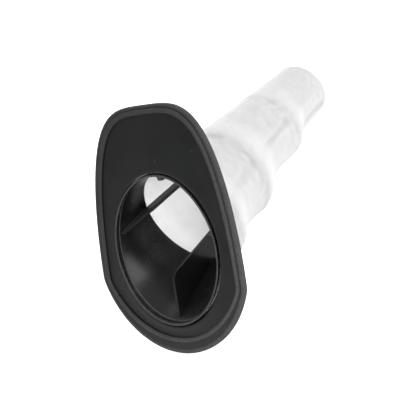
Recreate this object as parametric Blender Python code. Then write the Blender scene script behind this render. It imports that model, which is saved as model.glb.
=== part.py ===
"""Filter sleeve cartridge: an egg-shaped flange with a rubber rim seal, a funnel collar
that carries a cage of struts and hoops, and a white cloth sleeve over the cage.

The tube axis runs along +Y through the origin. The flange leans back over it, so that its
panel crosses the axis at the origin. Lengths are in metres.
"""
import math

import bmesh
import bpy

# Clearance between pieces that touch
FIT_GAP = 0.0003

# Lean of the flange: angle between its panel and a plane square to the tube axis
FLANGE_LEAN = math.radians(25.7)

# Visible panel of the flange, measured in the panel from the tube axis
PANEL_HALF_WIDTH = 0.0348
PANEL_RISE = 0.0518
PANEL_DROP = 0.0380
EAR_DROP = 0.0162
CROWN_POWER = 3.7
PLATE_THICKNESS = 0.0020
PLATE_TONGUE = 0.0011

# Clearance of the mouth round the collar, and the socket behind it
MOUTH_GAP = 0.0005
SOCKET_DEPTH = 0.0012
SOCKET_WALL = 0.0008

# Rim seal: a body round the plate's edge, then a groove and a beaded outer lip; rises run forward
SEAL_WALL = 0.0006
SEAL_BACK = 0.0012
FRONT_LIP_EDGE = 0.0006
FRONT_LIP_SLOPE = 0.0008
FRONT_LIP_RISE = 0.0011
GROOVE_SIDE_WIDTH = 0.0007
GROOVE_TOP_WIDTH = 0.0006
GROOVE_BOTTOM_WIDTH = 0.0027
GROOVE_DEPTH = 0.0003
BEAD_SIDE_WIDTH = 0.0018
BEAD_TOP_WIDTH = 0.0012
BEAD_BOTTOM_WIDTH = 0.0020
BEAD_RISE = 0.0007
OUTER_LIP_THICKNESS = 0.0018

# Collar: a cone that stands proud of the panel, with a small step inside, and draws in to a
# throat; stations run along the tube axis
COLLAR_RADIUS = 0.0267
COLLAR_TAPER = 0.162
COLLAR_WALL = 0.0008
COLLAR_RISE = 0.0010
STEP_DEPTH = 0.0015
STEP_WIDTH = 0.0004
BEND_STATION = 0.0100
THROAT_STATION = 0.0193
THROAT_RADIUS = 0.0226

# Hoops: station on the axis, and the radius of the cloth drawn over each
FRONT_HOOP_STATION = 0.0477
FRONT_HOOP_CLOTH_RADIUS = 0.0223
MIDDLE_HOOP_STATION = 0.0857
MIDDLE_HOOP_CLOTH_RADIUS = 0.0173
END_HOOP_STATION = 0.1155
END_HOOP_CLOTH_RADIUS = 0.0135
HOOP_WIRE = 0.0024

# Struts, and the deep web that stands on the collar's floor
STRUT_DEPTH = 0.0027
STRUT_TIP_DEPTH = 0.0008
STRUT_THICKNESS = 0.0022
SIDE_STRUT_ANGLE = math.radians(11.0)
SIDE_STRUT_SETBACK = 0.0004
TOP_STRUT_SETBACK = 0.0006
WEB_BELOW_AXIS = 0.0128
WEB_THICKNESS = 0.0012
WEB_SHOULDER = 0.0014
WEB_SETBACK = 0.0025
WEB_CORNER_RADIUS = 0.0030
WEB_RUN = 0.0300

# Cloth sleeve
CLOTH_THICKNESS = 0.0005
HEM_LENGTH = 0.0044
SAG_POWER = 4.0
SAG_TOWARDS = math.radians(-53.0)
END_ROUND_LENGTH = 0.0018
END_FLAT_RADIUS = 0.0075
CAP_RIM = 0.0004
CAP_WALL = 0.0010

# Facet counts
CROWN_POINTS = 40
LOWER_ARC_POINTS = 24
TURN_POINTS = 48
HOOP_POINTS = 40
WIRE_POINTS = 6
COLLAR_STEPS = 6
CLOTH_STEPS = 6
ROUND_STEPS = 5

LEAN_SIN = math.sin(FLANGE_LEAN)
LEAN_COS = math.cos(FLANGE_LEAN)
LEAN_TAN = math.tan(FLANGE_LEAN)
TURN_ANGLES = [2.0 * math.pi * i / TURN_POINTS for i in range(TURN_POINTS)]
HOOPS = {
    "front_hoop": (FRONT_HOOP_STATION, FRONT_HOOP_CLOTH_RADIUS),
    "middle_hoop": (MIDDLE_HOOP_STATION, MIDDLE_HOOP_CLOTH_RADIUS),
    "end_hoop": (END_HOOP_STATION, END_HOOP_CLOTH_RADIUS),
}


def clear_scene():
    for thing in list(bpy.data.objects):
        bpy.data.objects.remove(thing, do_unlink=True)


def make_material(name, colour, roughness):
    material = bpy.data.materials.new(name)
    material.use_nodes = True
    shader = material.node_tree.nodes["Principled BSDF"]
    shader.inputs["Base Color"].default_value = (*colour, 1.0)
    shader.inputs["Roughness"].default_value = roughness
    shader.inputs["Metallic"].default_value = 0.0
    return material


def make_empty(name, rotation=(0.0, 0.0, 0.0), parent=None):
    empty = bpy.data.objects.new(name, None)
    empty.rotation_euler = rotation
    empty.parent = parent
    bpy.context.collection.objects.link(empty)
    return empty


def add_piece(name, bm, material, parent):
    """Turn a bmesh into a named piece with outward faces, carried by its parent empty."""
    bmesh.ops.recalc_face_normals(bm, faces=bm.faces)
    mesh = bpy.data.meshes.new(name)
    bm.to_mesh(mesh)
    bm.free()
    mesh.materials.append(material)
    mesh.shade_smooth()
    mesh.set_sharp_from_angle(angle=math.radians(35.0))
    piece = bpy.data.objects.new(name, mesh)
    piece.parent = parent
    bpy.context.collection.objects.link(piece)
    return piece


def add_ring(bm, points):
    return [bm.verts.new(point) for point in points]


def bridge(bm, ring_a, ring_b):
    """Join two rings of equal count with a band of quads."""
    count = len(ring_a)
    for i in range(count):
        j = (i + 1) % count
        bm.faces.new((ring_a[i], ring_a[j], ring_b[j], ring_b[i]))


def ring_solid(rings):
    """Closed ring-shaped solid whose section passes through every ring in turn."""
    bm = bmesh.new()
    loops = [add_ring(bm, points) for points in rings]
    for i, loop in enumerate(loops):
        bridge(bm, loop, loops[(i + 1) % len(loops)])
    return bm


def bowl_solid(outer_rings, inner_rings):
    """Closed bowl: two nested walls from the rim to a flat floor, joined at the rim."""
    bm = bmesh.new()
    outer = [add_ring(bm, points) for points in outer_rings]
    inner = [add_ring(bm, points) for points in inner_rings]
    bridge(bm, outer[0], inner[0])
    for wall in (outer, inner):
        for loop, following in zip(wall, wall[1:]):
            bridge(bm, loop, following)
        bm.faces.new(wall[-1])
    return bm


def sheet_solid(profile, angle, thickness):
    """Flat bar cut to a profile of (station, radius) points, standing out at an angle."""
    bm = bmesh.new()
    out = (math.cos(angle), math.sin(angle))
    side = (-math.sin(angle) * thickness / 2.0, math.cos(angle) * thickness / 2.0)
    faces = []
    for sign in (-1.0, 1.0):
        points = [(r * out[0] + sign * side[0], s, r * out[1] + sign * side[1]) for s, r in profile]
        faces.append(add_ring(bm, points))
    bridge(bm, *faces)
    for loop in faces:
        bm.faces.new(loop)
    return bm


def tube_ring(station, radius, angles=TURN_ANGLES):
    return [(radius * math.cos(a), station, radius * math.sin(a)) for a in angles]


def to_flange(point):
    """Point of the tube frame as the leaning flange sees it."""
    x, y, z = point
    return (x, y * LEAN_COS - z * LEAN_SIN, y * LEAN_SIN + z * LEAN_COS)


def station_behind_panel(depth, height):
    """Station on the tube of a point that lies behind the panel, at a height over the axis."""
    return (depth + height * LEAN_SIN) / LEAN_COS


def slanted_edge(angle, depth, radius_at, reach):
    """Station where a surface round the tube, grown by a reach, meets a plane behind the panel."""
    station = 0.0
    for _ in range(12):
        station = station_behind_panel(depth, (radius_at(station) + reach) * math.sin(angle))
    return station


# Flange

def crown_scale(angle):
    """Distance to the crown curve along a direction, in units of its half axes."""
    low, high = 0.9, 1.5
    for _ in range(40):
        middle = (low + high) / 2.0
        across = abs(middle * math.cos(angle)) ** CROWN_POWER
        along = (middle * math.sin(angle)) ** 2
        if across + along < 1.0:
            low = middle
        else:
            high = middle
    return low


def flange_outline(side, top, bottom):
    """Flange outline in the panel, grown past the visible panel: crown first, then lower arc."""
    half_width = PANEL_HALF_WIDTH + side
    crown_height = PANEL_RISE + top + EAR_DROP
    points = []
    for i in range(CROWN_POINTS):
        angle = math.pi * i / CROWN_POINTS
        reach = crown_scale(angle)
        points.append((half_width * reach * math.cos(angle),
                       crown_height * reach * math.sin(angle) - EAR_DROP))
    sag = PANEL_DROP + bottom - EAR_DROP
    radius = (half_width ** 2 + sag ** 2) / (2.0 * sag)
    centre = radius - PANEL_DROP - bottom
    spread = math.atan2(half_width, -EAR_DROP - centre)
    for i in range(LOWER_ARC_POINTS):
        angle = -spread - 2.0 * (math.pi - spread) * i / LOWER_ARC_POINTS
        points.append((radius * math.sin(angle), centre + radius * math.cos(angle)))
    return points


def outline_ring(side, top, bottom, depth):
    return [(x, depth, z) for x, z in flange_outline(side, top, bottom)]


def even_ring(reach, depth):
    return outline_ring(reach, reach, reach, depth)


def mouth_angles():
    return [math.atan2(z, x) for x, z in flange_outline(0.0, 0.0, 0.0)]


def mouth_radius(angle, grow):
    """Radius of the collar's outer cone, grown, where it crosses the front of the panel."""
    return (COLLAR_RADIUS + COLLAR_WALL + grow) / (1.0 + COLLAR_TAPER * LEAN_TAN * math.sin(angle))


def mouth_ring(grow, depth):
    """Ring of the mouth at a depth behind the panel; its wall runs along the tube axis."""
    points = []
    for angle in mouth_angles():
        radius = mouth_radius(angle, grow)
        height = radius * math.sin(angle)
        station = station_behind_panel(depth, height)
        points.append(to_flange((radius * math.cos(angle), station, height)))
    return points


def socket_radius(station):
    """Inner radius of the socket, clear of the hem's outside."""
    return hem_radius(station) + CLOTH_THICKNESS + FIT_GAP


def socket_ring(depth, wall):
    """Ring of the socket's surface, at a depth behind the panel."""
    points = []
    for angle in mouth_angles():
        station = slanted_edge(angle, depth, socket_radius, wall)
        radius = socket_radius(station) + wall
        points.append(to_flange((radius * math.cos(angle), station, radius * math.sin(angle))))
    return points


def build_flange_plate(material, parent):
    socket_back = PLATE_THICKNESS + SOCKET_DEPTH
    rings = [
        even_ring(PLATE_TONGUE, 0.0),
        mouth_ring(MOUTH_GAP, 0.0),
        mouth_ring(MOUTH_GAP, PLATE_THICKNESS),
        socket_ring(PLATE_THICKNESS, 0.0),
        socket_ring(socket_back, 0.0),
        socket_ring(socket_back, SOCKET_WALL),
        socket_ring(PLATE_THICKNESS, SOCKET_WALL),
        even_ring(PLATE_TONGUE, PLATE_THICKNESS),
    ]
    add_piece("flange_plate", ring_solid(rings), material, parent)


def build_rim_seal(material, parent):
    slot = PLATE_TONGUE + FIT_GAP
    slot_front = -FIT_GAP
    slot_back = PLATE_THICKNESS + FIT_GAP
    body = slot + SEAL_WALL
    back = slot_back + SEAL_BACK
    groove_widths = (GROOVE_SIDE_WIDTH, GROOVE_TOP_WIDTH, GROOVE_BOTTOM_WIDTH)
    bead_foot = [body + width for width in groove_widths]
    bead_widths = (BEAD_SIDE_WIDTH, BEAD_TOP_WIDTH, BEAD_BOTTOM_WIDTH)
    edge = [reach + width for reach, width in zip(bead_foot, bead_widths)]
    groove_floor = GROOVE_DEPTH - BEAD_RISE
    outer_lip_back = OUTER_LIP_THICKNESS - BEAD_RISE
    rings = [
        even_ring(0.0, -FRONT_LIP_EDGE),
        even_ring(FRONT_LIP_SLOPE, -FRONT_LIP_RISE),
        even_ring(body, -FRONT_LIP_RISE),
        even_ring(body, groove_floor),
        outline_ring(*bead_foot, groove_floor),
        outline_ring(*bead_foot, -BEAD_RISE),
        outline_ring(*edge, -BEAD_RISE),
        outline_ring(*edge, outer_lip_back),
        even_ring(body, outer_lip_back),
        even_ring(body, back),
        even_ring(0.0, back),
        even_ring(0.0, slot_back),
        even_ring(slot, slot_back),
        even_ring(slot, slot_front),
        even_ring(0.0, slot_front),
    ]
    add_piece("rim_seal", ring_solid(rings), material, parent)


# Collar and cage

def collar_radius(station):
    """Inner radius of the collar: a cone that rounds in to the throat."""
    cone = COLLAR_RADIUS - COLLAR_TAPER * station
    past_bend = max(0.0, station - BEND_STATION) / (THROAT_STATION - BEND_STATION)
    throat_cone = COLLAR_RADIUS - COLLAR_TAPER * THROAT_STATION
    return cone - (throat_cone - THROAT_RADIUS) * past_bend ** 2


def collar_ring(depth, wall, share):
    """Ring of the collar, at a share of the way from a plane behind the panel to the throat."""
    points = []
    for angle in TURN_ANGLES:
        front = slanted_edge(angle, depth, collar_radius, wall)
        station = front + (THROAT_STATION - front) * share
        radius = collar_radius(station) + wall
        points.append((radius * math.cos(angle), station, radius * math.sin(angle)))
    return points


def build_mouth_collar(material, parent):
    shares = [i / COLLAR_STEPS for i in range(COLLAR_STEPS + 1)]
    outside = [collar_ring(-COLLAR_RISE, COLLAR_WALL, share) for share in shares]
    inside = [collar_ring(STEP_DEPTH, 0.0, share) for share in reversed(shares)]
    rim = [collar_ring(STEP_DEPTH, STEP_WIDTH, 0.0), collar_ring(-COLLAR_RISE, STEP_WIDTH, 0.0)]
    add_piece("mouth_collar", ring_solid(outside + inside + rim), material, parent)


def hoop_radius(cloth_radius):
    """Outer radius of a hoop under cloth of the given outer radius."""
    return cloth_radius - CLOTH_THICKNESS - FIT_GAP


def cap_station():
    """Rim of the end cap, just behind the end hoop."""
    return END_HOOP_STATION + HOOP_WIRE / 2.0 + 2.0 * FIT_GAP


def end_seam():
    """Where the cloth's end disc meets the last section, over the rim of the end cap."""
    return cap_station() + CAP_RIM


def strut_back_edge(start, shoulder):
    """Outer edge of a strut, front to back: along the collar's wall, then inside the hoops."""
    points = []
    for i in range(COLLAR_STEPS + 1):
        station = start + (THROAT_STATION - start) * i / COLLAR_STEPS
        points.append((station, collar_radius(station) - FIT_GAP))
    behind = THROAT_STATION + FIT_GAP
    points.append((behind, THROAT_RADIUS - FIT_GAP))
    if shoulder > 0.0:
        points.append((behind, THROAT_RADIUS + shoulder))
    for station, cloth_radius in HOOPS.values():
        points.append((station, hoop_radius(cloth_radius) - HOOP_WIRE - FIT_GAP))
    points.append((cap_station() - FIT_GAP, points[-1][1]))
    return points


def strut_profile(start, tip_depth):
    """Strut that deepens from its front tip to the throat, and then keeps its depth."""
    back_edge = strut_back_edge(start, 0.0)
    front_edge = []
    for station, radius in reversed(back_edge):
        share = min(1.0, (station - start) / (THROAT_STATION - start))
        front_edge.append((station, radius - tip_depth - (STRUT_DEPTH - tip_depth) * share))
    return back_edge + front_edge


def web_profile():
    """Strut that widens, towards the mouth, into a deep web with a rounded front corner."""
    foot = slanted_edge(-math.pi / 2.0, WEB_SETBACK, collar_radius, 0.0)
    back_edge = strut_back_edge(foot, WEB_SHOULDER)
    tail = [(station, radius - STRUT_DEPTH) for station, radius in reversed(back_edge)]
    tail = [point for point in tail if point[0] >= FRONT_HOOP_STATION]
    corner = (station_behind_panel(WEB_SETBACK, -WEB_BELOW_AXIS), WEB_BELOW_AXIS)
    corner_start = (corner[0] + WEB_CORNER_RADIUS, WEB_BELOW_AXIS)
    low_radius = WEB_BELOW_AXIS + WEB_CORNER_RADIUS
    corner_end = (station_behind_panel(WEB_SETBACK, -low_radius), low_radius)
    run = [(WEB_RUN, WEB_BELOW_AXIS)]
    for i in range(ROUND_STEPS + 1):
        t = i / ROUND_STEPS
        run.append(tuple((1.0 - t) ** 2 * a + 2.0 * t * (1.0 - t) * b + t ** 2 * c
                         for a, b, c in zip(corner_start, corner, corner_end)))
    return back_edge + tail + run


def build_struts(material, parent):
    side_start = slanted_edge(SIDE_STRUT_ANGLE, STEP_DEPTH, collar_radius, 0.0) + SIDE_STRUT_SETBACK
    top_start = slanted_edge(math.pi / 2.0, STEP_DEPTH, collar_radius, 0.0) + TOP_STRUT_SETBACK
    places = {
        "right_strut": (SIDE_STRUT_ANGLE, side_start, STRUT_TIP_DEPTH),
        "top_strut": (math.pi / 2.0, top_start, STRUT_DEPTH),
        "left_strut": (math.pi - SIDE_STRUT_ANGLE, side_start, STRUT_TIP_DEPTH),
    }
    for name, (angle, start, tip_depth) in places.items():
        bm = sheet_solid(strut_profile(start, tip_depth), angle, STRUT_THICKNESS)
        add_piece(name, bm, material, parent)
    web = sheet_solid(web_profile(), -math.pi / 2.0, WEB_THICKNESS)
    add_piece("bottom_web", web, material, parent)


def build_hoops(material, parent):
    angles = [2.0 * math.pi * i / HOOP_POINTS for i in range(HOOP_POINTS)]
    half_wire = HOOP_WIRE / 2.0
    for name, (station, cloth_radius) in HOOPS.items():
        centre = hoop_radius(cloth_radius) - half_wire
        rings = []
        for i in range(WIRE_POINTS):
            turn = 2.0 * math.pi * i / WIRE_POINTS
            rings.append(tube_ring(station + half_wire * math.sin(turn),
                                   centre + half_wire * math.cos(turn), angles))
        add_piece(name, ring_solid(rings), material, parent)


def end_wall(start, inset):
    """Rings of a rounded end, from its rim to its flat floor, set in from the sleeve's outside."""
    rim_radius = END_HOOP_CLOTH_RADIUS - inset
    flat_radius = END_FLAT_RADIUS - inset
    rings = [tube_ring(start, rim_radius)]
    for i in range(ROUND_STEPS + 1):
        turn = math.pi / 2.0 * i / ROUND_STEPS
        rings.append(tube_ring(end_seam() + FIT_GAP + (END_ROUND_LENGTH - inset) * math.sin(turn),
                               flat_radius + (rim_radius - flat_radius) * math.cos(turn)))
    return rings


def build_end_cap(material, parent):
    inset = CLOTH_THICKNESS + FIT_GAP
    start = cap_station()
    bm = bowl_solid(end_wall(start, inset), end_wall(start, inset + CAP_WALL))
    add_piece("end_cap", bm, material, parent)


# Cloth sleeve

def hem_station():
    """Station just behind the plate at the top of the mouth, from which the hem runs straight."""
    top_radius = mouth_radius(math.pi / 2.0, MOUTH_GAP)
    return station_behind_panel(PLATE_THICKNESS + FIT_GAP, top_radius)


def hem_radius(station):
    """Inner radius of the hem: along the collar's outside, then straight past the throat."""
    widest = max(collar_radius(min(station, hem_station())), THROAT_RADIUS)
    return widest + COLLAR_WALL + FIT_GAP


def hem_ring(share, reach):
    """Ring of the hem, at a share of the way from its slanted front edge to its square back edge."""
    points = []
    for angle in TURN_ANGLES:
        front = slanted_edge(angle, PLATE_THICKNESS + FIT_GAP, hem_radius, reach)
        station = front + (hem_station() + HEM_LENGTH - front) * share
        radius = hem_radius(station) + reach
        points.append((radius * math.cos(angle), station, radius * math.sin(angle)))
    return points


def sag_share(angle):
    """Share of the full sag at an angle: none over the struts, most on the side it leans to."""
    between_struts = math.sin(2.0 * angle) ** 2
    leaning = 0.5 + 0.5 * math.cos(angle - SAG_TOWARDS)
    return between_struts * leaning


def cloth_ring(start, finish, share, inset):
    """Ring of a cloth section, between its two ends, with the sag between the struts."""
    station = start[0] + (finish[0] - start[0]) * share
    taut = start[1] + (finish[1] - start[1]) * share
    sagged = finish[1] + (start[1] - finish[1]) * (1.0 - share) ** SAG_POWER
    points = []
    for angle in TURN_ANGLES:
        radius = taut + (sagged - taut) * sag_share(angle) - inset
        points.append((radius * math.cos(angle), station, radius * math.sin(angle)))
    return points


def build_cloth_section(name, start, finish, material, parent):
    start = (start[0] + FIT_GAP / 2.0, start[1])
    finish = (finish[0] - FIT_GAP / 2.0, finish[1])
    shares = [i / CLOTH_STEPS for i in range(CLOTH_STEPS + 1)]
    outside = [cloth_ring(start, finish, share, 0.0) for share in shares]
    inside = [cloth_ring(start, finish, share, CLOTH_THICKNESS) for share in reversed(shares)]
    add_piece(name, ring_solid(outside + inside), material, parent)


def build_sleeve(material, parent):
    shares = [i / CLOTH_STEPS for i in range(CLOTH_STEPS + 1)]
    outside = [hem_ring(share, CLOTH_THICKNESS) for share in shares]
    inside = [hem_ring(share, 0.0) for share in reversed(shares)]
    add_piece("sleeve_hem", ring_solid(outside + inside), material, parent)

    back = hem_station() + HEM_LENGTH
    seams = [(back + FIT_GAP / 2.0, hem_radius(back) + CLOTH_THICKNESS)]
    seams += [HOOPS["front_hoop"], HOOPS["middle_hoop"]]
    seams.append((end_seam(), END_HOOP_CLOTH_RADIUS))
    names = ("sleeve_front_section", "sleeve_middle_section", "sleeve_end_section")
    for name, start, finish in zip(names, seams, seams[1:]):
        build_cloth_section(name, start, finish, material, parent)

    start = end_seam() + FIT_GAP
    disc = bowl_solid(end_wall(start, 0.0)[1:], end_wall(start, CLOTH_THICKNESS)[1:])
    add_piece("sleeve_end_disc", disc, material, parent)


def main():
    clear_scene()
    plate_plastic = make_material("plate_plastic", (0.021, 0.022, 0.024), 0.50)
    seal_rubber = make_material("seal_rubber", (0.030, 0.031, 0.033), 0.62)
    collar_plastic = make_material("collar_plastic", (0.014, 0.015, 0.016), 0.28)
    cage_plastic = make_material("cage_plastic", (0.016, 0.017, 0.018), 0.36)
    sleeve_cloth = make_material("sleeve_cloth", (0.80, 0.81, 0.81), 0.95)

    flange = make_empty("flange_lean", rotation=(-FLANGE_LEAN, 0.0, 0.0))
    cage = make_empty("cage_axis")
    sleeve = make_empty("sleeve_axis", parent=cage)

    build_flange_plate(plate_plastic, flange)
    build_rim_seal(seal_rubber, flange)
    build_mouth_collar(collar_plastic, cage)
    build_struts(cage_plastic, cage)
    build_hoops(cage_plastic, cage)
    build_end_cap(cage_plastic, cage)
    build_sleeve(sleeve_cloth, sleeve)


main()
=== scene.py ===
"""Looks of the filter sleeve cartridge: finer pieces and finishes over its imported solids.

Lengths are in metres, in the part's frame: the tube axis runs along +Y through the origin, and
the flange leans back over it. A station is a place along that axis. An angle round the tube
starts at +X and turns towards +Z.
"""
import math

import bmesh
import bpy
import numpy as np
from mathutils import Matrix, Vector, noise


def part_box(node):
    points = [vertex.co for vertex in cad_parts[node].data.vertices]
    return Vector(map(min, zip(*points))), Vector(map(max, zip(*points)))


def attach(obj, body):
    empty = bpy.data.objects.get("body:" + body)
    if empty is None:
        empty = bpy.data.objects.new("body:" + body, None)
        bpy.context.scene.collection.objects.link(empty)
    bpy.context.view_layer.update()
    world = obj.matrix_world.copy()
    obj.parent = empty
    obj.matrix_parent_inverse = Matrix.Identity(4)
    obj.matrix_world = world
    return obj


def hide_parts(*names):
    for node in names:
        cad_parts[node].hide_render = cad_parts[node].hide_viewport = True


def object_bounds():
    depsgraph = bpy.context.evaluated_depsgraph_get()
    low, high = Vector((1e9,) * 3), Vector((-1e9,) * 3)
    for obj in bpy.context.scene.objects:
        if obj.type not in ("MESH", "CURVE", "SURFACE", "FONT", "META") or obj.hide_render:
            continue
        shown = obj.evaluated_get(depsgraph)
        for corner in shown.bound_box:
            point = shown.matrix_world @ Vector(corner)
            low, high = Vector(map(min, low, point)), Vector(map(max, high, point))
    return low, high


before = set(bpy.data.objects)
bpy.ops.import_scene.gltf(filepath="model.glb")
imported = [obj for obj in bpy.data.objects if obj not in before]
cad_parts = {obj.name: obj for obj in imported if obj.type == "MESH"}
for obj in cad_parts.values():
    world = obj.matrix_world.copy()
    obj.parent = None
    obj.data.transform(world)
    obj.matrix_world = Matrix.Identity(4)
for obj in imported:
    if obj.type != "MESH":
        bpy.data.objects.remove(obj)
cad_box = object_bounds()

# Camera, fitted to the flange edge, the mouth and the hoop ridges
CAMERA_AZIMUTH = math.radians(48.03)
CAMERA_ELEVATION = math.radians(26.67)
CAMERA_ROLL = math.radians(27.07)
CAMERA_AIM = (0.0, 0.0305, -0.0058)
CAMERA_DISTANCE = 0.3373
SENSOR_WIDTH = 36.0
LENS = 68.57

# Flange panel, and its lean over the tube
FLANGE_LEAN = math.radians(25.7)
PANEL_HALF_WIDTH = 0.0348
PANEL_RISE = 0.0518
PANEL_DROP = 0.0380
EAR_DROP = 0.0162
CROWN_POWER = 3.7
PLATE_THICKNESS = 0.0020
PLATE_TONGUE = 0.0011
PANEL_SWELL = 0.0001
SWELL_START = 0.45
SWELL_RUN = 0.5
FIT_GAP = 0.0003

# Moulded pips on the panel: across it and up it
PIPS = ((0.0219, 0.0364), (0.0022, 0.0333))
PIP_RADIUS = 0.0005
PIP_HEIGHT = 0.0002

# Clearance of the mouth round the collar, and the socket behind it
MOUTH_GAP = 0.0005
MOUTH_EASE = 0.0008
MOUTH_ROUND = 0.0003
SOCKET_WALL = 0.0008
SOCKET_DEPTH = 0.0012

# Rim seal: its body round the plate's edge, and the reach of its outer lip past the panel
SEAL_SLOT_REACH = PLATE_TONGUE + FIT_GAP
SEAL_SLOT_BACK = PLATE_THICKNESS + FIT_GAP
SEAL_BODY_REACH = 0.0020
SEAL_BACK = 0.0035
OUTER_LIP_REACHES = (0.0045, 0.0038, 0.0067)
BEAD_WIDTHS = (0.0021, 0.0014, 0.0020)
BEAD_BACK = 0.0011
SEAL_ROUND = 0.0003
# Painted light on the seal: its painted highlight is strongest towards this angle, the lower right where
# the light falls, and never below the share under it
PAINTED_LIGHT_TOWARDS = math.radians(-40.0)
PAINTED_LIGHT_LEAST = 0.25

# Front lip of the seal: reach past the panel, depth behind it, and share of painted highlight
FRONT_LIP = (
    (0.00000, -0.00030, 0.0), (0.00008, -0.00055, 0.2), (0.00035, -0.00082, 0.5),
    (0.00075, -0.00104, 0.9), (0.00115, -0.00110, 1.0), (0.00155, -0.00104, 0.9),
    (0.00180, -0.00090, 0.7), (0.00196, -0.00065, 0.4), (0.00206, -0.00044, 0.2))

# Outer lip of the seal: share of the bead's width from its edge, depth, and share of painted highlight
OUTER_LIP = (
    (1.08, -0.00044, 0.2), (0.97, -0.00049, 0.3), (0.86, -0.00060, 0.6),
    (0.74, -0.00068, 0.9), (0.60, -0.00070, 1.0), (0.42, -0.00064, 1.0),
    (0.22, -0.00048, 0.8), (0.07, -0.00026, 0.6), (0.00, 0.00000, 0.4),
    (0.00, 0.00030, 0.4), (0.07, 0.00040, 0.0), (0.07, 0.00050, 0.0),
    (0.00, 0.00060, 0.4), (0.02, 0.00092, 0.3), (0.12, BEAD_BACK, 0.0))

# Collar: its cone, the bead on its proud front edge, and the step inside
COLLAR_RADIUS = 0.0267
COLLAR_TAPER = 0.162
COLLAR_WALL = 0.0008
COLLAR_RISE = 0.0005
COLLAR_TILT = 0.0005
COLLAR_BEAD = 0.00045
BEAD_WALL = 0.00035
DRAWN_IN = 0.0006
DRAWN_IN_TOWARDS = math.radians(38.0)
DRAWN_IN_SPREAD = math.radians(26.0)
STEP_DEPTH = 0.0015
STEP_WIDTH = 0.0003
STEP_ROUND = 0.3 * STEP_WIDTH
# Share of painted highlight on the edge of the inner step
STEP_HIGHLIGHT = 0.8
BEND_STATION = 0.0100
THROAT_RADIUS = 0.0226
EDGE_ROUND = 0.0003
SNUG = 0.0002
MOUTH_BACK_GAP = SNUG + 0.1 * FIT_GAP
FLARE = 0.0004
FLARE_LENGTH = 0.0080
BOW = 0.0004
# Painted light on the collar's inside wall, lighter and duller towards the lower right where diffuse light
# falls: its direction, spread and share
PAINTED_WALL_LIGHT_TOWARDS = math.radians(-57.0)
PAINTED_WALL_LIGHT_SPREAD = math.radians(25.0)
PAINTED_WALL_LIGHT_SHARE = 0.3

# Cage: hoops, end cap and struts, with the slimmer front ends of the two side struts
HOOP_WIRE = 0.0024
END_CAP_WALL = 0.0010
STRUT_THICKNESS = 0.0022
STRUT_BEVEL = 0.0004
FOOT_REACH = 3.0 * FIT_GAP
STRUT_SLIM_SHARE = 0.85
STRUT_TIP_SHARE = 0.38
STRUT_TIP_DROP = 0.0013
STRUT_TIP_REACH = 0.0012
STRUT_PROUD = 0.0012
SIDE_STRUT_ANGLE = math.radians(11.0)
STRUT_PLACES = (("bottom_web", -math.pi / 2.0), ("right_strut", SIDE_STRUT_ANGLE),
                ("top_strut", math.pi / 2.0), ("left_strut", math.pi - SIDE_STRUT_ANGLE))

# Cloth: a value with three numbers has one for each section, front to back
CLOTH_THICKNESS = 0.0005
HEM_LENGTH = 0.0044
SOCKET_ROOM = CLOTH_THICKNESS + FIT_GAP
END_FLAT_RADIUS = 0.0075
SAG_TOWARDS = math.radians(-53.0)
SAG_DIPS = (0.0007, 0.0007, 0.0001)
DIP_START_SHARE = 0.25
FALL_SHARE = 0.40
RIDGE_HEIGHT = 0.0008
RIDGE_WIDTH = math.radians(9.0)
RIDGE_POWER = 0.7
STRUT_OUTER_SHARE = 0.7
CREASE_DEPTHS = (0.0009, 0.0009, 0.0017)
CREASE_ANGLES = tuple(math.radians(angle) for angle in (19.0, 19.0, -27.0))
CREASE_WIDTHS = tuple(math.radians(width) for width in (5.0, 5.0, 8.0))
HOOP_STEPS = (0.0005, 0.0004, 0.0001)
HOOP_STEP_RUN = 0.0040
HOOP_STEP_START = 1.0 / 3.0

# Wrinkles: height, folds round the tube and along each metre, and the shares of their two sizes
WRINKLE_HEIGHT = 0.0003
FOLDS_ROUND = 7.0
FOLDS_ALONG = 330.0
BROAD_FOLD_SCALE = 0.35
BROAD_FOLD_SHARE = 0.6
FINE_FOLD_SHARE = 0.25
HOOP_FOLD_SHARE = 0.9
HOOP_FOLD_REACH = 1.6 * HOOP_STEP_RUN
FOLD_FADE_SHARE = 0.1

# Surroundings: level, and the darker quarter's direction, edge and core
WORLD_LEVEL = 0.80
DARK_LEVEL = 0.27
DARK_AZIMUTH = -45.0
DARK_ELEVATION = 25.0
DARK_EDGE = 0.45
DARK_CORE = 0.85

# Floor: glow that the camera and the gloss see, over the light that falls on it
FLOOR_HALF_WIDTH = 4.0
FLOOR_DROP = 0.0005
FLOOR_SEEN = 0.70
FLOOR_MIRRORED = 0.20

# Lamps: azimuth, elevation, distance, size and power
LAMPS = {
    "right_softbox": (102.0, 27.0, 0.7, 0.58, 3.4),
    "left_softbox": (-118.0, 14.0, 0.7, 0.5, 3.4),
    "top_softbox": (-130.0, 52.0, 0.8, 0.5, 0.9),
    "front_fill": (48.0, 42.0, 0.9, 0.5, 0.6)}

# Mesh counts, and the passes that round the ears and that find a slanted edge
CROWN_COUNT = 176
CROWN_SAMPLES = 4001
LOWER_COUNT = 80
LOWER_SAMPLES = 2001
EAR_PASSES = 2
EDGE_PASSES = 12
PANEL_RINGS = 25
PIP_COUNT = 24
PIP_RINGS = 5
COLLAR_RINGS = 25
RING_CROWDING = 1.5
BEAD_TURNS = np.radians(np.arange(-60.0, 241.0, 30.0))
STRUT_CUTS = 6
HOOP_COUNT = 16
CAP_CORNER_RINGS = 9
TURN_COUNT = 192
CLOTH_TURN_COUNT = 240
CLOTH_STEP = 0.0006
HEM_RINGS = 16
CLOTH_CORNER_RINGS = 12

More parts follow.
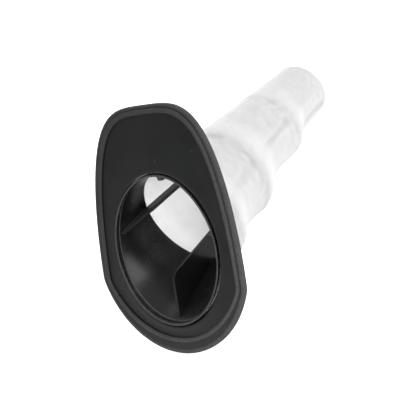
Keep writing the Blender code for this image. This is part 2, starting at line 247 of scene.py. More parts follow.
LEAN_SIN = math.sin(FLANGE_LEAN)
LEAN_COS = math.cos(FLANGE_LEAN)
LEAN_TAN = math.tan(FLANGE_LEAN)
PANEL_NORMAL = np.array((0.0, -LEAN_COS, LEAN_SIN))
TURN_ANGLES = np.linspace(0.0, math.tau, TURN_COUNT, endpoint=False)
THROAT_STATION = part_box("mouth_collar")[1].y
HEM_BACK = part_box("sleeve_hem")[1].y
HEM_STATION = HEM_BACK - HEM_LENGTH
HOOP_NODES = ("front_hoop", "middle_hoop", "end_hoop")


# Meshes

def ring_mesh(name, rings, body, material, tip=None, painted_light=None, sharp=40.0):
    """Smooth closed mesh through rings of equal count, which loop unless tips close both ends."""
    rings = [np.asarray(ring, float) for ring in rings]
    count = len(rings[0])
    points = np.concatenate(rings)
    faces = []
    pairs = len(rings) if tip is None else len(rings) - 1
    for i in range(pairs):
        low = i * count
        high = ((i + 1) % len(rings)) * count
        for j in range(count):
            k = (j + 1) % count
            faces.append((low + j, low + k, high + k, high + j))
    if tip is not None:
        first, last = len(points), len(points) + 1
        points = np.concatenate([points, np.asarray(tip, float)])
        top = (len(rings) - 1) * count
        for j in range(count):
            k = (j + 1) % count
            faces.append((first, k, j))
            faces.append((last, top + j, top + k))
    mesh = bpy.data.meshes.new(name)
    mesh.from_pydata(points.tolist(), [], faces)
    # Share of painted highlight for each ring, kept on the points for the shader
    if painted_light is not None:
        values = np.zeros(len(points), np.float32)
        values[:len(rings) * count] = np.concatenate([np.broadcast_to(painted_share, count) for painted_share in painted_light])
        mesh.attributes.new("painted_light", "FLOAT", "POINT").data.foreach_set("value", values)
    return add_piece(name, mesh, body, material, sharp)


def add_piece(name, mesh, body, material, sharp=40.0):
    bm = bmesh.new()
    bm.from_mesh(mesh)
    bmesh.ops.recalc_face_normals(bm, faces=bm.faces)
    bm.to_mesh(mesh)
    bm.free()
    mesh.shade_smooth()
    mesh.set_sharp_from_angle(angle=math.radians(sharp))
    mesh.materials.append(material)
    piece = bpy.data.objects.new(name, mesh)
    bpy.context.scene.collection.objects.link(piece)
    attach(piece, body)
    return piece


def tube_ring(station, radius, angles=TURN_ANGLES):
    station = np.broadcast_to(station, angles.shape)
    return np.stack([radius * np.cos(angles), station, radius * np.sin(angles)], axis=1)


def from_panel(x, depth, z):
    """Point given across the panel, behind it and up it, in the part's frame."""
    y = depth * LEAN_COS + z * LEAN_SIN
    return np.stack([x, y, z * LEAN_COS - depth * LEAN_SIN], axis=-1)


def station_behind_panel(depth, height):
    return (depth + height * LEAN_SIN) / LEAN_COS


def smooth_step(share):
    share = np.clip(share, 0.0, 1.0)
    return share * share * (3.0 - 2.0 * share)


def angle_between(angle, other):
    return (angle - other + math.pi) % math.tau - math.pi


# Flange

def even_points(points, count):
    """Points spaced evenly along a line, without its last one."""
    lengths = np.concatenate([[0.0], np.cumsum(np.linalg.norm(np.diff(points, axis=0), axis=1))])
    places = np.linspace(0.0, lengths[-1], count, endpoint=False)
    return np.stack([np.interp(places, lengths, points[:, i]) for i in range(2)], axis=1)


def flange_outline(side, top, bottom):
    """Outline grown past the visible panel, with its two ears rounded a little."""
    half_width = PANEL_HALF_WIDTH + side
    turn = np.linspace(0.0, math.pi, CROWN_SAMPLES)
    across = half_width * np.sign(np.cos(turn)) * np.abs(np.cos(turn)) ** (2.0 / CROWN_POWER)
    crown = np.stack([across, (PANEL_RISE + top + EAR_DROP) * np.sin(turn) - EAR_DROP], axis=1)
    sag = PANEL_DROP + bottom - EAR_DROP
    radius = (half_width ** 2 + sag ** 2) / (2.0 * sag)
    centre = radius - PANEL_DROP - bottom
    spread = math.atan2(half_width, -EAR_DROP - centre)
    turn = np.linspace(-spread, spread - math.tau, LOWER_SAMPLES)
    lower = np.stack([radius * np.sin(turn), centre + radius * np.cos(turn)], axis=1)
    loop = np.concatenate([even_points(crown, CROWN_COUNT), even_points(lower, LOWER_COUNT)])
    for _ in range(EAR_PASSES):
        loop = (np.roll(loop, 1, axis=0) + 2.0 * loop + np.roll(loop, -1, axis=0)) / 4.0
    return loop


def outline_ring(side, top, bottom, depth):
    loop = flange_outline(side, top, bottom)
    return from_panel(loop[:, 0], depth, loop[:, 1])


def even_ring(reach, depth):
    return outline_ring(reach, reach, reach, depth)


PANEL_LOOP = flange_outline(0.0, 0.0, 0.0)
MOUTH_ANGLES = np.arctan2(PANEL_LOOP[:, 1], PANEL_LOOP[:, 0])


def mouth_ring(grow, depth, ease=MOUTH_EASE):
    """Ring of the mouth at a depth behind the panel, eased a little on one side."""
    lean = COLLAR_TAPER * LEAN_TAN * np.sin(MOUTH_ANGLES)
    side = np.maximum(0.0, np.cos(MOUTH_ANGLES)) ** 2
    radius = (COLLAR_RADIUS + COLLAR_WALL + grow + ease * side) / (1.0 + lean)
    height = radius * np.sin(MOUTH_ANGLES)
    return np.stack([radius * np.cos(MOUTH_ANGLES), station_behind_panel(depth, height), height], axis=1)


def socket_ring(depth, wall):
    """Ring of the socket, at a depth behind the panel."""
    station = slanted_edge(MOUTH_ANGLES, depth, hem_radius, SOCKET_ROOM + wall)
    return tube_ring(station, hem_radius(station) + SOCKET_ROOM + wall, MOUTH_ANGLES)


def build_plate(material):
    """Plate with a slightly swollen panel, the mouth, and the socket behind it."""
    mouth_foot = mouth_ring(MOUTH_GAP + MOUTH_ROUND, 0.0)
    edge = even_ring(0.0, 0.0)
    rings = [even_ring(PLATE_TONGUE, 0.0)]
    painted_light = [0.0]
    for share in np.linspace(0.0, 1.0, PANEL_RINGS):
        swell = PANEL_SWELL * smooth_step((share - SWELL_START) / SWELL_RUN)
        rings.append(edge + (mouth_foot - edge) * share + PANEL_NORMAL * swell)
        painted_light.append(0.0)
    # The mouth's rounded edge takes a painted highlight
    for grow, depth, ease, painted_share in (
            (MOUTH_GAP + 0.3 * MOUTH_ROUND, 0.3 * MOUTH_ROUND - PANEL_SWELL, MOUTH_EASE, 0.6),
            (MOUTH_GAP, MOUTH_ROUND, MOUTH_EASE, 0.3),
            (MOUTH_BACK_GAP, PLATE_THICKNESS, 0.0, 0.0)):
        rings.append(mouth_ring(grow, depth, ease))
        painted_light.append(painted_share)
    socket_back = PLATE_THICKNESS + SOCKET_DEPTH
    for depth, wall in (
            (PLATE_THICKNESS, 0.0), (socket_back - MOUTH_ROUND, 0.0), (socket_back, MOUTH_ROUND),
            (socket_back, SOCKET_WALL - MOUTH_ROUND), (socket_back - MOUTH_ROUND, SOCKET_WALL),
            (PLATE_THICKNESS, SOCKET_WALL)):
        rings.append(socket_ring(depth, wall))
        painted_light.append(0.0)
    rings.append(even_ring(PLATE_TONGUE, PLATE_THICKNESS))
    painted_light.append(0.0)
    plate = ring_mesh("plate_moulding", rings, "flange", material, painted_light=painted_light)
    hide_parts("flange_plate")


def build_pips(material):
    """Two small moulded pips on the panel above the mouth, painted all over in the highlight tone."""
    turns = np.linspace(0.0, math.tau, PIP_COUNT, endpoint=False)
    root = FIT_GAP / 3.0
    for i, (x, z) in enumerate(PIPS):
        rings = []
        for tilt in np.linspace(0.0, math.pi / 2.0, PIP_RINGS + 1)[:-1]:
            reach = PIP_RADIUS * math.cos(tilt)
            depth = root - (PIP_HEIGHT + root) * math.sin(tilt)
            rings.append(from_panel(x + reach * np.cos(turns), depth, z + reach * np.sin(turns)))
        tips = (from_panel(x, root, z), from_panel(x, -PIP_HEIGHT, z))
        pip = ring_mesh(f"panel_pip_{i + 1}", rings, "flange", material, tip=tips, painted_light=np.ones(len(rings)))


def build_seal(material):
    """Rubber rim: a rounded front lip over the plate's edge, a groove, and a beaded outer lip."""
    edge = np.array(OUTER_LIP_REACHES)
    bead = np.array(BEAD_WIDTHS)
    back = (
        (SEAL_BODY_REACH, BEAD_BACK), (SEAL_BODY_REACH, SEAL_BACK - SEAL_ROUND),
        (SEAL_BODY_REACH - SEAL_ROUND, SEAL_BACK), (0.0, SEAL_BACK), (0.0, SEAL_SLOT_BACK),
        (SEAL_SLOT_REACH, SEAL_SLOT_BACK), (SEAL_SLOT_REACH, -FIT_GAP))
    rings, painted_light = [], []
    # Painted highlight on the lips' crests, stronger towards the lower right where the light falls
    painted_highlight = PAINTED_LIGHT_LEAST + 0.5 * (1.0 + np.cos(angle_between(MOUTH_ANGLES, PAINTED_LIGHT_TOWARDS)))
    for reach, depth, painted_share in FRONT_LIP:
        rings.append(even_ring(reach, depth))
        painted_light.append(painted_share * painted_highlight)
    for share, depth, painted_share in OUTER_LIP:
        rings.append(outline_ring(*(edge - share * bead), depth))
        painted_light.append(painted_share * painted_highlight)
    for reach, depth in back:
        rings.append(even_ring(reach, depth))
        painted_light.append(0.0)
    seal = ring_mesh("seal_moulding", rings, "flange", material, painted_light=painted_light, sharp=60.0)
    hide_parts("rim_seal")


# Collar and cage

def collar_radius(station):
    """Inner radius of the collar: a cone that rounds in to the throat."""
    past_bend = np.maximum(0.0, station - BEND_STATION) / (THROAT_STATION - BEND_STATION)
    throat_cone = COLLAR_RADIUS - COLLAR_TAPER * THROAT_STATION
    return COLLAR_RADIUS - COLLAR_TAPER * station - (throat_cone - THROAT_RADIUS) * past_bend ** 2


def hem_radius(station):
    """Inner radius of the hem: along the collar's outside, then straight past its throat."""
    return collar_radius(np.minimum(station, HEM_STATION)) + COLLAR_WALL + FIT_GAP


def slanted_edge(angles, depth, radius_at, reach):
    """Stations where a surface round the tube, grown by a reach, meets a plane behind the panel."""
    station = np.zeros_like(angles)
    for _ in range(EDGE_PASSES):
        station = station_behind_panel(depth, (radius_at(station) + reach) * np.sin(angles))
    return station


def collar_ring(depth, wall, share=0.0, flare=0.0):
    """Ring of the collar, at a share of the way from a plane behind the panel to the throat."""
    front = slanted_edge(TURN_ANGLES, depth, collar_radius, wall)
    station = front + (THROAT_STATION - EDGE_ROUND - front) * share
    open_share = np.clip(1.0 - (station - front) / FLARE_LENGTH, 0.0, 1.0)
    bow = BOW * math.sin(math.pi * share) if flare else 0.0
    return tube_ring(station, collar_radius(station) + wall + flare * open_share ** 2 - bow)


def build_collar(material):
    """Funnel with a beaded front edge and a small step inside."""
    shares = np.linspace(0.0, 1.0, COLLAR_RINGS)
    bead_depth = COLLAR_BEAD - COLLAR_RISE
    inner_wall = FLARE + STEP_WIDTH
    throat_walls = (0.7 * COLLAR_WALL, 0.3 * COLLAR_WALL)
    # Painted light: the inside wall lighter towards the lower right, where diffuse light falls
    painted_wall_light = PAINTED_WALL_LIGHT_SHARE * np.exp(-(angle_between(TURN_ANGLES, PAINTED_WALL_LIGHT_TOWARDS) / PAINTED_WALL_LIGHT_SPREAD) ** 2)
    rings, painted_light = [], []
    tilt = COLLAR_TILT * np.cos(TURN_ANGLES)
    drawn_in = DRAWN_IN * np.exp(-(angle_between(TURN_ANGLES, DRAWN_IN_TOWARDS) / DRAWN_IN_SPREAD) ** 2)
    # The bead's front half takes a painted highlight, a light line round the mouth
    for turn in BEAD_TURNS:
        rings.append(collar_ring(bead_depth + tilt - COLLAR_BEAD * math.sin(turn),
                                 BEAD_WALL - drawn_in - COLLAR_BEAD * math.cos(turn)))
        painted_light.append(max(0.0, math.sin(turn)))
    for share in shares:
        rings.append(collar_ring(STEP_DEPTH / 2.0, COLLAR_WALL + SNUG, share))
        painted_light.append(0.0)
    for wall in throat_walls:
        rings.append(tube_ring(THROAT_STATION, collar_radius(THROAT_STATION) + wall))
        painted_light.append(0.0)
    for share in shares[::-1]:
        rings.append(collar_ring(STEP_DEPTH + STEP_ROUND, 0.0, share ** RING_CROWDING, FLARE))
        painted_light.append(painted_wall_light)
    # The inner step's edge takes a painted highlight, a light line inside the collar
    painted_light[-1] = STEP_HIGHLIGHT
    for depth, wall, painted_share in (
            (STEP_DEPTH, FLARE + STEP_ROUND, 1.0),
            (STEP_DEPTH, FLARE + 0.8 * STEP_WIDTH, 0.6),
            (STEP_DEPTH - STEP_ROUND, inner_wall, 0.0)):
        rings.append(collar_ring(depth, wall))
        painted_light.append(painted_share)
    collar = ring_mesh("collar_moulding", rings, "cage", material, painted_light=painted_light, sharp=70.0)
    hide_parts("mouth_collar")


def sink_foot(mesh):
    """Sink the foot of a strut or web a little into the collar's wall."""
    for vertex in mesh.vertices:
        radius = math.hypot(vertex.co.x, vertex.co.z)
        wall = float(collar_radius(vertex.co.y))
        if vertex.co.y < THROAT_STATION and wall - radius < FOOT_REACH:
            share = (wall + FIT_GAP) / radius
            vertex.co = (vertex.co.x * share, vertex.co.y, vertex.co.z * share)


def slim_front(mesh):
    """Slim a side strut from above, and draw it down and thin it from the throat to its front tip."""
    bm = bmesh.new()
    bm.from_mesh(mesh)
    tip = min(vertex.co.y for vertex in bm.verts)
    for station in np.linspace(tip, THROAT_STATION, STRUT_CUTS + 1)[1:]:
        parts = bm.verts[:] + bm.edges[:] + bm.faces[:]
        bmesh.ops.bisect_plane(bm, geom=parts, plane_co=(0.0, station, 0.0), plane_no=(0.0, 1.0, 0.0))
    for vertex in bm.verts:
        radius = math.hypot(vertex.co.x, vertex.co.z)
        foot = radius * math.sin(SIDE_STRUT_ANGLE) - STRUT_THICKNESS / 2.0
        to_tip = min(1.0, max(0.0, (THROAT_STATION - vertex.co.y) / (THROAT_STATION - tip)))
        keep = STRUT_SLIM_SHARE * (1.0 - (1.0 - STRUT_TIP_SHARE) * to_tip)
        if radius < collar_radius(vertex.co.y) - FIT_GAP:
            vertex.co.x *= 1.0 - STRUT_PROUD * to_tip / radius
        vertex.co.z = foot + (vertex.co.z - foot) * keep - STRUT_TIP_DROP * to_tip
        vertex.co.y -= STRUT_TIP_REACH * to_tip
    bm.to_mesh(mesh)
    bm.free()


def build_struts(cage, web_edges, side_strut, strut_edges):
    """Struts and web with soft edges, those of the web and side struts carrying painted highlights; the
    side struts are painted lighter all over.
    """
    finishes = {"bottom_web": (cage, web_edges), "left_strut": (side_strut, strut_edges),
                "right_strut": (side_strut, strut_edges), "top_strut": (cage, cage)}
    for name, (faces, edges) in finishes.items():
        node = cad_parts[name]
        mesh = node.data.copy()
        mesh.transform(node.matrix_world)
        sink_foot(mesh)
        if faces == side_strut:
            slim_front(mesh)
        mesh.materials.clear()
        strut = add_piece(name + "_moulding", mesh, "cage", faces, 30.0)
        mesh.materials.append(edges)
        bevel = strut.modifiers.new("soft_edges", "BEVEL")
        bevel.width = STRUT_BEVEL
        bevel.segments = 3
        bevel.limit_method = "ANGLE"
        bevel.angle_limit = math.radians(40.0)
        bevel.material = 1
        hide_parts(name)


def build_hoops(material):
    """Three hoops of round section, under the ridges of the cloth."""
    for node in HOOP_NODES:
        low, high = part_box(node)
        station = (low.y + high.y) / 2.0
        wire = HOOP_WIRE / 2.0
        turns = np.linspace(0.0, math.tau, HOOP_COUNT, endpoint=False)
        rings = [tube_ring(station + wire * math.sin(t), high.x - wire + wire * math.cos(t)) for t in turns]
        hoop = ring_mesh(node + "_ring", rings, "cage", material)
        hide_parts(node)


def build_end_cap(material):
    """Shallow cup that closes the cage, with a rounded corner."""
    low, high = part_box("end_cap")
    rim = high.x
    corner = high.y - low.y
    outside = [tube_ring(low.y + corner * math.sin(t), rim - corner * (1.0 - math.cos(t)))
               for t in np.linspace(0.0, math.pi / 2.0, CAP_CORNER_RINGS)]
    outside += [tube_ring(high.y, (rim - corner) * s) for s in (0.66, 0.33)]
    floor = high.y - END_CAP_WALL
    inside = [tube_ring(low.y, rim - END_CAP_WALL)]
    inside += [tube_ring(floor, (rim - END_CAP_WALL) * s) for s in (0.97, 0.66, 0.33)]
    tips = ((0.0, high.y, 0.0), (0.0, floor, 0.0))
    cap = ring_mesh("end_cup", outside[::-1] + inside, "cage", material, tip=tips)
    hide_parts("end_cap")


# Cloth sleeve

CLOTH_ANGLES = np.linspace(0.0, math.tau, CLOTH_TURN_COUNT, endpoint=False)


def sleeve_supports():
    """Places that carry the cloth, front to back: station and outer radius of the cloth there."""
    places = [(HEM_BACK, float(hem_radius(HEM_BACK)) + CLOTH_THICKNESS)]
    for node in HOOP_NODES:
        low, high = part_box(node)
        places.append(((low.y + high.y) / 2.0, high.x + FIT_GAP + CLOTH_THICKNESS))
    return places


def strut_lines(supports):
    """Outer edges of the struts: angle round the tube, stations, and the reach from its axis there."""
    lines = []
    for name, angle in STRUT_PLACES:
        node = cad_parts[name]
        reaches = {}
        for vertex in node.data.vertices:
            point = node.matrix_world @ vertex.co
            reach = math.hypot(point.x, point.z)
            if reach > STRUT_OUTER_SHARE * np.interp(point.y, *zip(*supports)):
                station = round(point.y, 4)
                reaches[station] = max(reaches.get(station, 0.0), reach)
        stations = sorted(reaches)
        lines.append((angle, stations, [reaches[station] for station in stations]))
    return lines


def wrinkles(station, before_hoop):
    """Small uneven folds, strongest where the cloth rises to a hoop."""
    heights = []
    for angle in CLOTH_ANGLES:
        spot = Vector((math.cos(angle) * FOLDS_ROUND, station * FOLDS_ALONG, math.sin(angle) * FOLDS_ROUND))
        broad = noise.noise(spot * BROAD_FOLD_SCALE)
        fine = noise.noise(spot)
        heights.append(BROAD_FOLD_SHARE * broad + fine * (FINE_FOLD_SHARE + HOOP_FOLD_SHARE * before_hoop))
    return WRINKLE_HEIGHT * np.array(heights)


def cloth_radius(station, supports, lines):
    """Outer radius of the cloth all round the tube at a station.

    From each hoop the cloth falls towards the next one, more on the side it leans to. It rises
    steeply on to that hoop. The struts show through as ridges and carry the cloth where it would
    sink below them, and each section has one crease.
    """
    places = [place for place, _ in supports]
    radii = [radius for _, radius in supports]
    if station >= places[-1]:
        return np.full_like(CLOTH_ANGLES, radii[-1])
    i = max(0, int(np.searchsorted(places, station)) - 1)
    length = places[i + 1] - places[i]
    share = (station - places[i]) / length
    drop = radii[i] - radii[i + 1]
    ahead = places[i + 1] - station
    before_hoop = math.exp(-((ahead - HOOP_STEP_RUN / 2.0) / HOOP_FOLD_REACH) ** 2)
    step = HOOP_STEPS[i] * smooth_step(share / HOOP_STEP_START) * smooth_step(ahead / HOOP_STEP_RUN)
    dip_share = max(0.0, share - DIP_START_SHARE) / (1.0 - DIP_START_SHARE)
    dip = SAG_DIPS[i] * math.sin(math.pi * dip_share) ** 2
    low = radii[i + 1] + drop * (1.0 - smooth_step(share / FALL_SHARE)) - dip
    high = radii[i + 1] + drop * (1.0 - share)
    lower = 0.5 + 0.5 * np.cos(CLOTH_ANGLES - SAG_TOWARDS)
    middle = math.sin(math.pi * share) ** RIDGE_POWER
    ridge = np.zeros_like(CLOTH_ANGLES)
    for _, strut in STRUT_PLACES:
        away = angle_between(CLOTH_ANGLES, strut)
        ridge += RIDGE_HEIGHT * np.exp(-(away / RIDGE_WIDTH) ** 2)
    from_crease = angle_between(CLOTH_ANGLES, CREASE_ANGLES[i])
    ridge -= CREASE_DEPTHS[i] * np.exp(-(from_crease / CREASE_WIDTHS[i]) ** 2)
    sagged = high + (low - high) * lower + ridge * lower * middle - step
    sagged += wrinkles(station, before_hoop) * smooth_step(min(share, 1.0 - share) / FOLD_FADE_SHARE)
    for strut, stations, reaches in lines:
        away = angle_between(CLOTH_ANGLES, strut)
        carried = np.interp(station, stations, reaches) + CLOTH_THICKNESS + FIT_GAP / 2.0
        sagged = np.maximum(sagged, carried - RIDGE_HEIGHT * (away / RIDGE_WIDTH) ** 2)
    return sagged


def inset(ring, depth):
    """Ring drawn in towards the tube axis."""
    radius = np.hypot(ring[:, 0], ring[:, 2])
    share = np.maximum(radius - depth, 0.0) / np.maximum(radius, 1e-9)
    return np.stack([ring[:, 0] * share, ring[:, 1], ring[:, 2] * share], axis=1)


def build_sleeve(material):
    """One cloth with a thickness, from the slanted hem to the closed end."""
    supports = sleeve_supports()
    lines = strut_lines(supports)
    end_low, end_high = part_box("sleeve_end_disc")
    stations = np.arange(HEM_BACK, end_low.y, CLOTH_STEP)
    rim = end_high.x
    hem_front = slanted_edge(CLOTH_ANGLES, PLATE_THICKNESS + FIT_GAP, hem_radius, CLOTH_THICKNESS)
    outer = []
    for share in np.linspace(0.0, 1.0, HEM_RINGS, endpoint=False):
        station = hem_front + (HEM_BACK - hem_front) * share
        outer.append(tube_ring(station, hem_radius(station) + CLOTH_THICKNESS, CLOTH_ANGLES))
    outer += [tube_ring(s, cloth_radius(s, supports, lines), CLOTH_ANGLES) for s in stations]
    for turn in np.linspace(0.0, math.pi / 2.0, CLOTH_CORNER_RINGS):
        station = end_low.y + (end_high.y - end_low.y) * math.sin(turn)
        reach = END_FLAT_RADIUS + (rim - END_FLAT_RADIUS) * math.cos(turn)
        outer.append(tube_ring(station, reach, CLOTH_ANGLES))
    outer += [tube_ring(end_high.y, END_FLAT_RADIUS * s, CLOTH_ANGLES) for s in (0.75, 0.5, 0.25)]
    inner = [inset(ring, CLOTH_THICKNESS) for ring in outer]
    for ring in inner:
        ring[:, 1] = np.minimum(ring[:, 1], end_high.y - CLOTH_THICKNESS)
    tips = ((0.0, end_high.y, 0.0), (0.0, end_high.y - CLOTH_THICKNESS, 0.0))
    sleeve = ring_mesh("cloth_sleeve", outer[::-1] + inner, "sleeve", material, tip=tips, sharp=80.0)
    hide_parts("sleeve_hem", "sleeve_front_section", "sleeve_middle_section",
                "sleeve_end_section", "sleeve_end_disc")


# Materials, with noise scales in features per metre

CLOUDS = 70.0
PATCHES = 260.0
SPECKS = 1500.0
FELT_CLOUDS = 160.0
FELT_FIBRES = 900.0
FELT_FRONT_STATION = 0.035
FELT_BACK_STATION = 0.065


def new_material(name, roughness):
    material = bpy.data.materials.new(name)
    material.use_nodes = True
    shader = material.node_tree.nodes["Principled BSDF"]
    shader.inputs["Roughness"].default_value = roughness
    return material, material.node_tree, shader


def add_noise(tree, scale, detail, stretch=(1.0, 1.0, 1.0)):
    """Noise in the piece's own coordinates."""
    place = tree.nodes.new("ShaderNodeTexCoord")
    mapping = tree.nodes.new("ShaderNodeMapping")
    mapping.inputs["Scale"].default_value = stretch
    texture = tree.nodes.new("ShaderNodeTexNoise")
    texture.inputs["Scale"].default_value = scale
    texture.inputs["Detail"].default_value = detail
    tree.links.new(place.outputs["Object"], mapping.inputs["Vector"])
    tree.links.new(mapping.outputs["Vector"], texture.inputs["Vector"])
    return texture.outputs["Fac"]


def add_ramp(tree, source, start, finish, dark, light):
    ramp = tree.nodes.new("ShaderNodeValToRGB")
    ramp.color_ramp.elements[0].position = start
    ramp.color_ramp.elements[0].color = (*dark, 1.0)
    ramp.color_ramp.elements[1].position = finish
    ramp.color_ramp.elements[1].color = (*light, 1.0)
    tree.links.new(source, ramp.inputs["Fac"])
    return ramp.outputs["Color"]


def add_range(tree, source, low, high, to_low, to_high):
    node = tree.nodes.new("ShaderNodeMapRange")
    for socket, value in zip(("From Min", "From Max", "To Min", "To Max"), (low, high, to_low, to_high)):
        node.inputs[socket].default_value = value
    tree.links.new(source, node.inputs["Value"])
    return node.outputs["Result"]


def add_mix(tree, share, first, second):
    node = tree.nodes.new("ShaderNodeMix")
    node.data_type = "RGBA"
    tree.links.new(share, node.inputs["Factor"])
    tree.links.new(first, node.inputs["A"])
    tree.links.new(second, node.inputs["B"])
    return node.outputs["Result"]


def add_product(tree, first, second):
    node = tree.nodes.new("ShaderNodeMath")
    node.operation = "MULTIPLY"
    tree.links.new(first, node.inputs[0])
    tree.links.new(second, node.inputs[1])
    return node.outputs["Value"]


def add_bump(tree, shader, height, strength, distance):
    node = tree.nodes.new("ShaderNodeBump")
    node.inputs["Strength"].default_value = strength
    node.inputs["Distance"].default_value = distance
    tree.links.new(height, node.inputs["Height"])
    tree.links.new(node.outputs["Normal"], shader.inputs["Normal"])


def moulding(name, dark, light, painted_tone, gloss, grain, relief, shine=0.5):
    """Moulded plastic or rubber: cloudy tone and gloss, fine grain, and a lighter, duller painted highlight
    where the mesh asks for one.
    """
    material, tree, shader = new_material(name, gloss[0])
    clouds = add_noise(tree, CLOUDS, 4.0)
    specks = add_noise(tree, SPECKS, 2.0)
    base = add_ramp(tree, clouds, 0.35, 0.65, dark, light)
    # Painted highlight: a lighter tone, laid where the mesh's attribute asks for it
    painted_highlight = add_ramp(tree, specks, 0.3, 0.7, tuple(0.6 * tone for tone in painted_tone), painted_tone)
    painted_light = tree.nodes.new("ShaderNodeAttribute")
    painted_light.attribute_name = "painted_light"
    patchy = add_range(tree, add_noise(tree, PATCHES, 3.0), 0.3, 0.7, 0.7, 1.0)
    share = add_product(tree, painted_light.outputs["Fac"], patchy)
    tree.links.new(add_mix(tree, share, base, painted_highlight), shader.inputs["Base Color"])
    dull = tree.nodes.new("ShaderNodeMath")
    dull.operation = "MAXIMUM"
    tree.links.new(add_range(tree, clouds, 0.3, 0.7, *gloss), dull.inputs[0])
    tree.links.new(add_range(tree, painted_light.outputs["Fac"], 0.0, 1.0, 0.0, 0.6), dull.inputs[1])
    tree.links.new(dull.outputs["Value"], shader.inputs["Roughness"])
    shader.inputs["Specular IOR Level"].default_value = shine
    add_bump(tree, shader, add_noise(tree, grain, 2.0), relief, 0.0001)
    return material


def felt(name, front, back):
    """Non-woven cloth: faint clouds, short fibres both ways, light that soaks through."""
    material, tree, shader = new_material(name, 0.9)
    clouds = add_noise(tree, FELT_CLOUDS, 5.0)
    place = tree.nodes.new("ShaderNodeTexCoord")
    split = tree.nodes.new("ShaderNodeSeparateXYZ")
    tree.links.new(place.outputs["Object"], split.inputs["Vector"])
    # Painted cast: the cloth bluer and a little darker towards the front, standing in for the colour of the
    # light there
    along_tube = add_range(tree, split.outputs["Y"], FELT_FRONT_STATION, FELT_BACK_STATION, 0.0, 1.0)
    tones = [add_ramp(tree, clouds, 0.3, 0.7, *pair) for pair in (front, back)]
    tree.links.new(add_mix(tree, along_tube, *tones), shader.inputs["Base Color"])
    along = add_noise(tree, FELT_FIBRES, 4.0, (1.0, 0.25, 1.0))
    across = add_noise(tree, FELT_FIBRES, 4.0, (0.3, 1.0, 0.3))
    add_bump(tree, shader, add_product(tree, along, across), 0.25, 0.0003)
    shader.inputs["Subsurface Weight"].default_value = 1.0
    shader.inputs["Subsurface Radius"].default_value = (1.0, 1.0, 1.0)
    shader.inputs["Subsurface Scale"].default_value = 0.0045
    shader.inputs["Specular IOR Level"].default_value = 0.15
    shader.inputs["Sheen Weight"].default_value = 0.15
    return material


# Stage

def build_floor(level):
    mesh = bpy.data.meshes.new("floor")
    half = FLOOR_HALF_WIDTH
    corners = [(-half, -half, level), (half, -half, level), (half, half, level), (-half, half, level)]
    mesh.from_pydata(corners, [], [(0, 1, 2, 3)])
    floor = bpy.data.objects.new("floor", mesh)
    bpy.context.scene.collection.objects.link(floor)
    material, tree, shader = new_material("floor_white", 0.9)
    shader.inputs["Base Color"].default_value = (0.86, 0.86, 0.86, 1.0)
    shader.inputs["Specular IOR Level"].default_value = 0.0
    path = tree.nodes.new("ShaderNodeLightPath")
    seen = add_range(tree, path.outputs["Is Camera Ray"], 0.0, 1.0, 0.0, FLOOR_SEEN)
    mirrored = add_range(tree, path.outputs["Is Glossy Ray"], 0.0, 1.0, 0.0, FLOOR_MIRRORED)
    strength = tree.nodes.new("ShaderNodeMath")
    strength.operation = "ADD"
    tree.links.new(seen, strength.inputs[0])
    tree.links.new(mirrored, strength.inputs[1])
    shader.inputs["Emission Color"].default_value = (1.0, 1.0, 1.0, 1.0)
    tree.links.new(strength.outputs[0], shader.inputs["Emission Strength"])
    mesh.materials.append(material)


def direction(azimuth, elevation):
    flat = math.cos(elevation)
    return Vector((math.sin(azimuth) * flat, -math.cos(azimuth) * flat, math.sin(elevation)))


def build_lamp(name, azimuth, elevation, distance, size, power):
    light = bpy.data.lights.new(name, "AREA")
    light.size = size
    light.energy = power
    lamp = bpy.data.objects.new(name, light)
    towards = direction(math.radians(azimuth), math.radians(elevation))
    lamp.location = Vector(CAMERA_AIM) + towards * distance
    lamp.rotation_euler = towards.to_track_quat("Z", "Y").to_euler()
    bpy.context.scene.collection.objects.link(lamp)


def build_world():
    """Even white surroundings, with a darker quarter that the panel mirrors."""
    world = bpy.data.worlds.new("studio")
    world.use_nodes = True
    tree = world.node_tree
    background = tree.nodes["Background"]
    background.inputs["Color"].default_value = (1.0, 1.0, 1.0, 1.0)
    place = tree.nodes.new("ShaderNodeTexCoord")
    towards = tree.nodes.new("ShaderNodeVectorMath")
    towards.operation = "DOT_PRODUCT"
    towards.inputs[1].default_value = direction(math.radians(DARK_AZIMUTH), math.radians(DARK_ELEVATION))
    tree.links.new(place.outputs["Generated"], towards.inputs[0])
    level = add_range(tree, towards.outputs["Value"], DARK_EDGE, DARK_CORE, WORLD_LEVEL, DARK_LEVEL)
    path = tree.nodes.new("ShaderNodeLightPath")
    brightest = tree.nodes.new("ShaderNodeMath")
    brightest.operation = "MAXIMUM"
    tree.links.new(level, brightest.inputs[0])
    tree.links.new(path.outputs["Is Camera Ray"], brightest.inputs[1])
    tree.links.new(brightest.outputs["Value"], background.inputs["Strength"])
    bpy.context.scene.world = world


def build_camera():
    back = direction(CAMERA_AZIMUTH, CAMERA_ELEVATION)
    level_right = Vector((math.cos(CAMERA_AZIMUTH), math.sin(CAMERA_AZIMUTH), 0.0))
    level_up = back.cross(level_right)
    right = level_right * math.cos(CAMERA_ROLL) - level_up * math.sin(CAMERA_ROLL)
    up = level_right * math.sin(CAMERA_ROLL) + level_up * math.cos(CAMERA_ROLL)
    data = bpy.data.cameras.new("camera")
    data.sensor_width = SENSOR_WIDTH
    data.lens = LENS
    camera = bpy.data.objects.new("camera", data)
    camera.location = Vector(CAMERA_AIM) + back * CAMERA_DISTANCE
    camera.rotation_euler = Matrix((right, up, back)).transposed().to_euler()
    bpy.context.scene.collection.objects.link(camera)
    bpy.context.scene.camera = camera


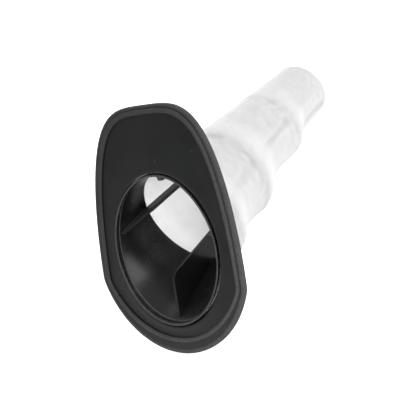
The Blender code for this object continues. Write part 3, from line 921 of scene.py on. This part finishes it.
def main():
    # The third tone of each moulding is its painted highlight tone
    plate = moulding("satin_plate", (0.007, 0.0075, 0.009), (0.010, 0.0105, 0.012), (0.042, 0.042, 0.044),
                     (0.38, 0.48), 2600.0, 0.12)
    rubber = moulding("rim_rubber", (0.033, 0.034, 0.036), (0.046, 0.047, 0.049), (0.125, 0.125, 0.127),
                      (0.55, 0.70), 1800.0, 0.2, shine=0.2)
    gloss = moulding("gloss_collar", (0.006, 0.0065, 0.007), (0.009, 0.0095, 0.010), (0.12, 0.12, 0.124),
                     (0.24, 0.32), 900.0, 0.03, shine=0.38)
    cage = moulding("satin_cage", (0.007, 0.0075, 0.008), (0.010, 0.0105, 0.011), (0.05, 0.05, 0.05),
                    (0.30, 0.38), 1600.0, 0.06)
    # Painted highlights along the web's soft edges
    web_edges = moulding("painted_highlight_web", (0.060, 0.061, 0.063), (0.100, 0.101, 0.103), (0.12, 0.12, 0.12),
                         (0.34, 0.42), 1600.0, 0.06)
    # The side struts: the cage's black plastic painted lighter, standing in for the light on them
    side_strut = moulding("painted_lit_strut", (0.024, 0.0245, 0.026), (0.034, 0.0345, 0.036), (0.05, 0.05, 0.05),
                          (0.34, 0.42), 1600.0, 0.06)
    # Painted highlights and glints along the side struts' soft edges
    strut_edges = moulding("painted_highlight_strut", (0.13, 0.13, 0.135), (0.20, 0.20, 0.205), (0.22, 0.22, 0.22),
                           (0.18, 0.24), 1600.0, 0.04)
    cloth = felt("white_felt", ((0.855, 0.845, 0.89), (0.91, 0.90, 0.94)),
                 ((0.865, 0.87, 0.87), (0.92, 0.925, 0.92)))
    build_plate(plate)
    build_pips(plate)
    build_seal(rubber)
    build_collar(gloss)
    build_struts(cage, web_edges, side_strut, strut_edges)
    build_hoops(cage)
    build_end_cap(cage)
    build_sleeve(cloth)

    build_floor(cad_box[0].z - FLOOR_DROP)
    for name, values in LAMPS.items():
        build_lamp(name, *values)
    build_world()
    build_camera()
    bpy.context.scene.view_settings.view_transform = "Standard"


main()
